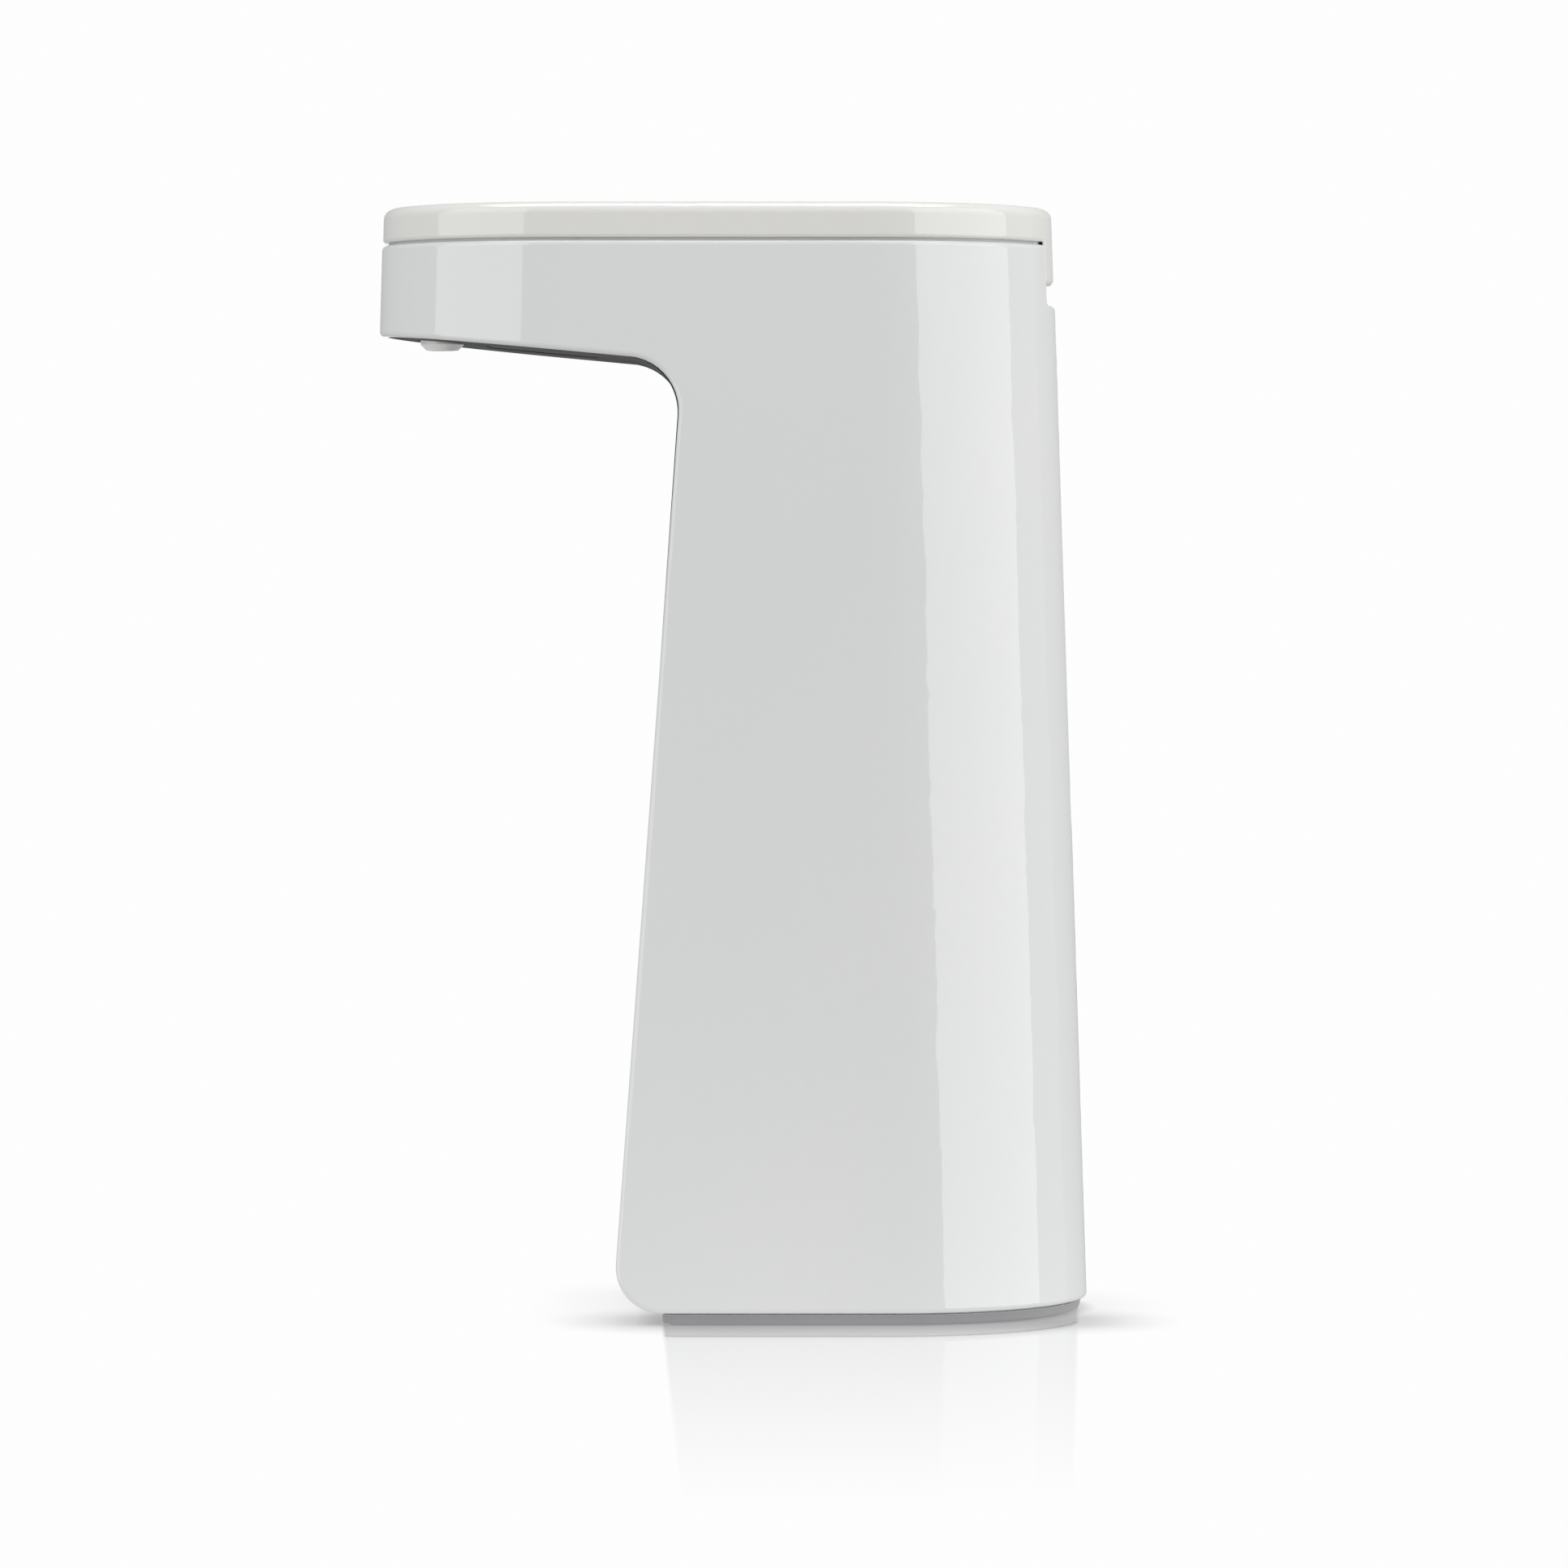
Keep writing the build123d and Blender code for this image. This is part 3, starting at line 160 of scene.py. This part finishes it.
MATS["pale_inner"] = simple("satin_pale_inner", srgb(222, 223, 221), 0.38, srgb(208, 210, 209), 0.02, 0.6, bump=0.004)
MATS["dark_panel"] = simple("satin_dark_panel", srgb(78, 79, 80), 0.46, srgb(68, 70, 72), 0.03, 0.6,
                            r=(0.46, 0.56), bump=0.003, bump_size=0.0005, IOR=1.3, Specular_IOR_Level=0.12)
MATS["smoked"] = simple("smoked_window", srgb(40, 38, 42), 0.42, srgb(50, 44, 49), 0.01, 0.5, r=(0.38, 0.48), IOR=1.3,
                        Specular_IOR_Level=0.14)
MATS["grey_base"] = simple("semi_gloss_grey_foot", srgb(158, 156, 158), 0.32, srgb(148, 147, 150), 0.02, 0.6,
                           r=(0.29, 0.38), bump=0.004)


def foot_neck_painted_light():
    """The foot's narrow neck under the body is painted pale, near the body's tone, to lighten the shade in the gap
    under the body.
    """
    m = MATS["grey_base"]
    nt = m.node_tree
    p = next(x for x in nt.nodes if x.type == "BSDF_PRINCIPLED")
    tc = nt.nodes.new("ShaderNodeTexCoord")
    sep = nt.nodes.new("ShaderNodeSeparateXYZ")
    nt.links.new(tc.outputs["Object"], sep.inputs[0])
    fac = None
    for a, b in ((0.00160, 0.00163), (0.00230, 0.00225)):
        r = nt.nodes.new("ShaderNodeMapRange")
        for k, v in zip((1, 2, 3, 4), (a, b, 0.0, 1.0)):
            r.inputs[k].default_value = v
        nt.links.new(sep.outputs["Z"], r.inputs[0])
        if fac is None:
            fac = r.outputs[0]
        else:
            x = nt.nodes.new("ShaderNodeMath")
            x.operation = "MULTIPLY"
            nt.links.new(fac, x.inputs[0])
            nt.links.new(r.outputs[0], x.inputs[1])
            fac = x.outputs[0]
    # painted light: a pale colour laid over the neck band, chosen by height, lightens the shade in the gap under the
    # body
    mx = nt.nodes.new("ShaderNodeMix")
    mx.data_type = "RGBA"
    mx.inputs["B"].default_value = srgb(240, 240, 242)
    nt.links.new(p.inputs["Base Color"].links[0].from_socket, mx.inputs["A"])
    nt.links.new(fac, mx.inputs["Factor"])
    nt.links.new(mx.outputs["Result"], p.inputs["Base Color"])


foot_neck_painted_light()
MATS["soft_rubber"] = simple("soft_rubber_ring", srgb(122, 121, 123), 0.62, srgb(104, 103, 106), 0.008, 0.6,
                             r=(0.55, 0.72), bump=0.008, bump_size=0.0006)
MATS["silicone"] = simple("clear_silicone", srgb(226, 228, 226), 0.3, srgb(214, 218, 216), 0.006, 0.5, r=(0.29, 0.38),
                          bump=0.003, Transmission_Weight=0.35, IOR=1.41, Subsurface_Weight=0.2)
MATS["seal_black"] = simple("black_seal_rubber", srgb(30, 30, 32), 0.55, srgb(44, 44, 46), 0.004, 0.5, r=(0.48, 0.66), bump=0.005)
MATS["natural_pp"] = simple("frosted_tank", srgb(224, 228, 228), 0.34, srgb(212, 218, 219), 0.03, 0.5, r=(0.29, 0.42),
                            bump=0.005, Transmission_Weight=0.35, IOR=1.49)
MATS["pump_plastic"] = simple("pump_acetal", srgb(70, 72, 76), 0.42, srgb(56, 58, 62), 0.006, 0.5, bump=0.004)
MATS["gear_nylon"] = simple("gear_nylon", srgb(226, 222, 206), 0.36, srgb(214, 208, 188), 0.006, 0.6, bump=0.003)
MATS["board"] = simple("board_green", srgb(18, 84, 58), 0.34, srgb(12, 66, 46), 0.004, 0.7, r=(0.29, 0.42), bump=0.004, bump_size=0.0007)
MATS["chips"] = simple("chip_black", srgb(32, 33, 35), 0.5, srgb(46, 47, 50), 0.003, 0.5, bump=0.004, bump_size=0.0003)
MATS["led_clear"] = simple("led_clear", srgb(226, 232, 236), 0.08, srgb(206, 214, 222), 0.002, 0.5, r=(0.05, 0.12),
                           Transmission_Weight=0.8, IOR=1.52)
MATS["led_dark"] = simple("led_dark", srgb(26, 22, 34), 0.1, srgb(38, 30, 46), 0.002, 0.5, r=(0.06, 0.15), IOR=1.52)
MATS["cell_sleeve"] = simple("cell_sleeve", srgb(58, 70, 82), 0.3, srgb(48, 58, 70), 0.012, 0.5, r=(0.29, 0.38), bump=0.003)


def metal(name, base, other, rough, stretch=(1, 1, 1), bump=0.0):
    m = Mat(name, base, rough, Metallic=1.0)
    m.tint(m.noise(0.004, 4.0, 0.6, 0.6), other, 0.0, 0.7)
    m.roughness(m.noise(0.0012, 3.0, 0.6, stretch=stretch), rough * 0.8, rough * 1.3)
    m.bump(m.noise(0.0004, 2.0, 0.5, stretch=stretch), bump or 0.002)
    return m.m


MATS["steel"] = metal("bright_steel", srgb(196, 198, 200), srgb(176, 178, 182), 0.36)
MATS["motor_steel"] = metal("zinc_motor_steel", srgb(176, 178, 176), srgb(160, 160, 152), 0.37, (1, 1, 0.1))
MATS["pinion_brass"] = metal("pinion_brass", srgb(206, 176, 104), srgb(186, 152, 86), 0.36)


def flat_cable():
    m = Mat("flat_cable", srgb(214, 214, 208), 0.4)
    w = m.n("TexWave", wave_type="BANDS", bands_direction="X")
    w.inputs["Scale"].default_value = 1000.0 / 1.0 / 2.0 * 0.2
    m.link(m.coords(), w.inputs["Vector"])
    m.tint(w.outputs["Fac"], srgb(168, 170, 170), 0.0, 0.8, 0.3, 0.7)
    m.roughness(m.noise(0.004), 0.34, 0.46)
    m.bump(w.outputs["Fac"], 0.05)
    return m.m


MATS["flat_cable"] = flat_cable()

SLOTS = {}
for n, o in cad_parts.items():
    SLOTS[n] = o.material_slots[0].name if o.material_slots else ""
NODE_MAT = {"lid": "white_lid", "nozzle": "white_nozzle", "power_button": "white_button", "volume_up_button": "white_button",
            "volume_down_button": "white_button"}
for n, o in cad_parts.items():
    key = NODE_MAT.get(n, SLOTS[n].split(".")[0])
    mat = MATS.get(key)
    if mat is None:
        print("no material for", n, SLOTS[n])
        continue
    for s in o.material_slots:
        s.material = mat

# ------------------------------------------------------------------ stage: floor, lights, world
K_REAR, K_FRONT, K_OVER, K_ENV, K_FLOOR, K_NEAR, K_SEEN, K_BACK = 1.32, 1.05, 2.6, 0.47, 0.49, 0.38, 1.0, 0.985
K_FILL_A, K_FILL_B, K_CONTACT = 0.25, 0.12, 0.75


def stage_floor():
    me = bpy.data.meshes.new("stage_floor")
    n, rad = 96, 3.2
    verts, faces = [(0, 0, 0)], []
    rings = (0.12, 0.3, 0.8, 1.8, rad)
    for r in rings:
        for k in range(n):
            a = 2 * math.pi * k / n
            verts.append((r * math.cos(a), r * math.sin(a), 0.0))
    for k in range(n):
        faces.append((0, 1 + k, 1 + (k + 1) % n))
    for i in range(len(rings) - 1):
        for k in range(n):
            a, b = 1 + i * n + k, 1 + i * n + (k + 1) % n
            faces.append((a, a + n, b + n, b))
    me.from_pydata(verts, [], faces)
    me.update()
    ob = bpy.data.objects.new("stage_floor", me)
    bpy.context.scene.collection.objects.link(ob)
    ob.location = (0, 0, -0.00005)
    m = bpy.data.materials.new("stage_floor")
    m.use_nodes = True
    nt = m.node_tree
    nt.nodes.clear()
    N = nt.nodes.new
    L = nt.links.new
    def emission(strength):
        e = N("ShaderNodeEmission")
        if isinstance(strength, float):
            e.inputs["Strength"].default_value = strength
        else:
            L(strength, e.inputs["Strength"])
        return e.outputs[0]

    def ranged(src, a, b, c, d):
        r = N("ShaderNodeMapRange")
        for k, v in zip((1, 2, 3, 4), (a, b, c, d)):
            r.inputs[k].default_value = v
        L(src, r.inputs[0])
        return r.outputs[0]

    def mixed(fac, a, b):
        x = N("ShaderNodeMixShader")
        L(fac, x.inputs[0])
        L(a, x.inputs[1])
        L(b, x.inputs[2])
        return x.outputs[0]

    out_ = N("ShaderNodeOutputMaterial")
    tc = N("ShaderNodeTexCoord")
    ln = N("ShaderNodeVectorMath")
    ln.operation = "LENGTH"
    L(tc.outputs["Object"], ln.inputs[0])
    # what is seen: a white top with a contact shadow and a polish that fades with distance
    def math2(op, x, y):
        m2 = N("ShaderNodeMath")
        m2.operation = op
        for k, v in enumerate((x, y)):
            if isinstance(v, (int, float)):
                m2.inputs[k].default_value = v
            else:
                L(v, m2.inputs[k])
        return m2.outputs[0]

    def occlusion(dist, lo, dark):
        a = N("ShaderNodeAmbientOcclusion")
        a.samples = 12
        a.inputs["Distance"].default_value = dist
        return ranged(a.outputs["AO"], lo, 1.0, dark, 1.0)

    xyz = N("ShaderNodeSeparateXYZ")
    L(tc.outputs["Object"], xyz.inputs[0])
    # a soft pool of shadow along the darker side of the foot, 23 mm from full to none
    dx = math2("MAXIMUM", math2("SUBTRACT", math2("ABSOLUTE", math2("SUBTRACT", xyz.outputs["X"], 0.026), 0.0), 0.002), 0.0)
    dy = math2("MAXIMUM", math2("SUBTRACT", math2("ABSOLUTE", math2("SUBTRACT", xyz.outputs["Y"], 0.0225), 0.0), 0.0315), 0.0)
    dd = math2("SQRT", math2("ADD", math2("MULTIPLY", dx, dx), math2("MULTIPLY", dy, dy)), 0.0)
    rp = N("ShaderNodeValToRGB")
    e_ = rp.color_ramp.elements
    while len(e_) > 1:
        e_.remove(e_[-1])
    stops = ((0.0, 0.62), (4.0, 0.68), (7.0, 0.71), (9.0, 0.75), (11.6, 0.82), (14.0, 0.88), (19.0, 0.96), (23.0, 1.0))
    e_[0].position, e_[0].color = 0.0, (stops[0][1],) * 3 + (1.0,)
    for d_, v_ in stops[1:]:
        x_ = e_.new(d_ / 23.0)
        x_.color = (v_, v_, v_, 1.0)
    L(ranged(dd, 0.0, 0.023, 0.0, 1.0), rp.inputs[0])
    shadow = math2("MULTIPLY", math2("MULTIPLY", occlusion(0.018, 0.25, 0.85), occlusion(0.003, 0.3, K_CONTACT)),
                   rp.outputs[0])
    seen = emission(math2("MULTIPLY", shadow, 0.985 * K_SEEN))
    gl = N("ShaderNodeBsdfGlossy")
    gl.inputs["Color"].default_value = (1.0, 1.0, 1.0, 1.0)
    gl.inputs["Roughness"].default_value = 0.0
    fr = N("ShaderNodeFresnel")
    fr.inputs["IOR"].default_value = 1.5
    # the polish lies in line with the foot
    lean = math2("ADD", math2("MULTIPLY", xyz.outputs["X"], -0.026), xyz.outputs["Y"])
    lean_b = math2("ADD", math2("MULTIPLY", xyz.outputs["X"], 0.0394), xyz.outputs["Y"])
    strip = math2("MULTIPLY", ranged(lean, -0.0130, -0.0123, 0.0, 1.0), ranged(lean_b, 0.0593, 0.0600, 1.0, 0.0))
    strip = math2("MULTIPLY", strip, ranged(xyz.outputs["X"], -0.03, 0.0, 0.0, 1.0))
    reach = math2("MULTIPLY", strip, ranged(ln.outputs["Value"], 0.02, 0.295, 1.0, 0.0))
    mul = N("ShaderNodeMath")
    mul.operation = "MULTIPLY"
    L(reach, mul.inputs[0])
    # the polish only shows at a grazing look
    L(math2("MULTIPLY", math2("POWER", fr.outputs[0], 3.0), 3.1), mul.inputs[1])
    mul.use_clamp = True
    polished = mixed(mul.outputs[0], seen, gl.outputs[0])
    # what it gives to its surroundings: an even glow, a little stronger close by
    glow = emission(ranged(ln.outputs["Value"], 0.0, 0.25, K_FLOOR + K_NEAR, K_FLOOR))
    lp_ = N("ShaderNodeLightPath")
    clear = N("ShaderNodeBsdfTransparent")
    x1 = mixed(lp_.outputs["Is Diffuse Ray"], polished, glow)
    x2 = mixed(lp_.outputs["Is Glossy Ray"], x1, clear.outputs[0])
    L(x2, out_.inputs[0])
    m.cycles.emission_sampling = "NONE"
    me.materials.append(m)
    return ob


stage_floor()


def backdrop():
    me = bpy.data.meshes.new("stage_backdrop")
    w, h, x = 0.62, 1.6, -3.3
    me.from_pydata([(x, -w, -0.02), (x, w, -0.02), (x, w, h), (x, -w, h)], [], [(0, 1, 2, 3)])
    me.update()
    ob = bpy.data.objects.new("stage_backdrop", me)
    bpy.context.scene.collection.objects.link(ob)
    m = bpy.data.materials.new("stage_backdrop")
    m.use_nodes = True
    nt = m.node_tree
    nt.nodes.clear()
    o_ = nt.nodes.new("ShaderNodeOutputMaterial")
    e = nt.nodes.new("ShaderNodeEmission")
    e.inputs["Strength"].default_value = K_BACK
    nt.links.new(e.outputs[0], o_.inputs[0])
    me.materials.append(m)
    return ob


backdrop()


def area(name, loc, target, sx, sy, radiance, color=(1, 1, 1)):
    l = bpy.data.lights.new(name, "AREA")
    l.shape = "RECTANGLE"
    l.size, l.size_y = sx, sy
    l.energy = radiance * math.pi * sx * sy
    l.color = color
    ob = bpy.data.objects.new(name, l)
    bpy.context.scene.collection.objects.link(ob)
    ob.location = loc
    d = Vector(target) - Vector(loc)
    ob.rotation_euler = d.to_track_quat("-Z", "Y").to_euler()
    ob.visible_camera = False
    return ob


def softbox(name, az_mid, az_half, pivot_y, dist, z0, z1, radiance):
    """Upright rectangle az_mid degrees round from +X (positive towards +Y), az_half to each side."""
    a = math.radians(az_mid)
    zc = (z0 + z1) / 2
    loc = (dist * math.cos(a), pivot_y + dist * math.sin(a), zc)
    return area(name, loc, (0.0, pivot_y, zc), 2 * dist * math.tan(math.radians(az_half)), z1 - z0, radiance)


softbox("softbox_rear", 63.5, 32.5, 0.022, 0.95, -0.35, 1.15, K_REAR)
softbox("softbox_front", -57.5, 29.5, -0.028, 0.95, -0.35, 1.15, K_FRONT)
softbox("fill_rear_a", 110.0, 14.0, 0.022, 0.95, -0.35, 1.15, K_FILL_A)
softbox("fill_rear_b", 146.0, 22.0, 0.022, 0.95, -0.35, 1.15, K_FILL_B)
area("overhead", (0.0, 0.0, 1.25), (0, 0, 0), 0.55, 1.2, K_OVER)

world = bpy.data.worlds.new("studio")
bpy.context.scene.world = world
world.use_nodes = True
wn = world.node_tree
wn.nodes.clear()
wo = wn.nodes.new("ShaderNodeOutputWorld")
w_cam = wn.nodes.new("ShaderNodeBackground")
w_cam.inputs["Color"].default_value = (0.985, 0.985, 0.985, 1)
w_env = wn.nodes.new("ShaderNodeBackground")
w_env.inputs["Color"].default_value = (K_ENV, K_ENV, K_ENV * 1.01, 1)
lp = wn.nodes.new("ShaderNodeLightPath")
wm = wn.nodes.new("ShaderNodeMixShader")
wn.links.new(lp.outputs["Is Camera Ray"], wm.inputs[0])
wn.links.new(w_env.outputs[0], wm.inputs[1])
wn.links.new(w_cam.outputs[0], wm.inputs[2])
wn.links.new(wm.outputs[0], wo.inputs[0])

# ------------------------------------------------------------------ camera
cam_data = bpy.data.cameras.new("camera")
cam_data.sensor_width = 36.0
cam_data.lens = 183.2
cam_data.clip_start, cam_data.clip_end = 0.05, 20.0
cam = bpy.data.objects.new("camera", cam_data)
bpy.context.scene.collection.objects.link(cam)
cam.location = (1.380, 0.0087, 0.1315)
aim = Vector((0.0, 0.0087, 0.0906)) - Vector(cam.location)
cam.rotation_euler = aim.to_track_quat("-Z", "Y").to_euler()
bpy.context.scene.camera = cam

scene = bpy.context.scene
scene.view_settings.view_transform = "Standard"
scene.view_settings.look = "None"
scene.view_settings.exposure = 0.0
scene.view_settings.gamma = 1.0
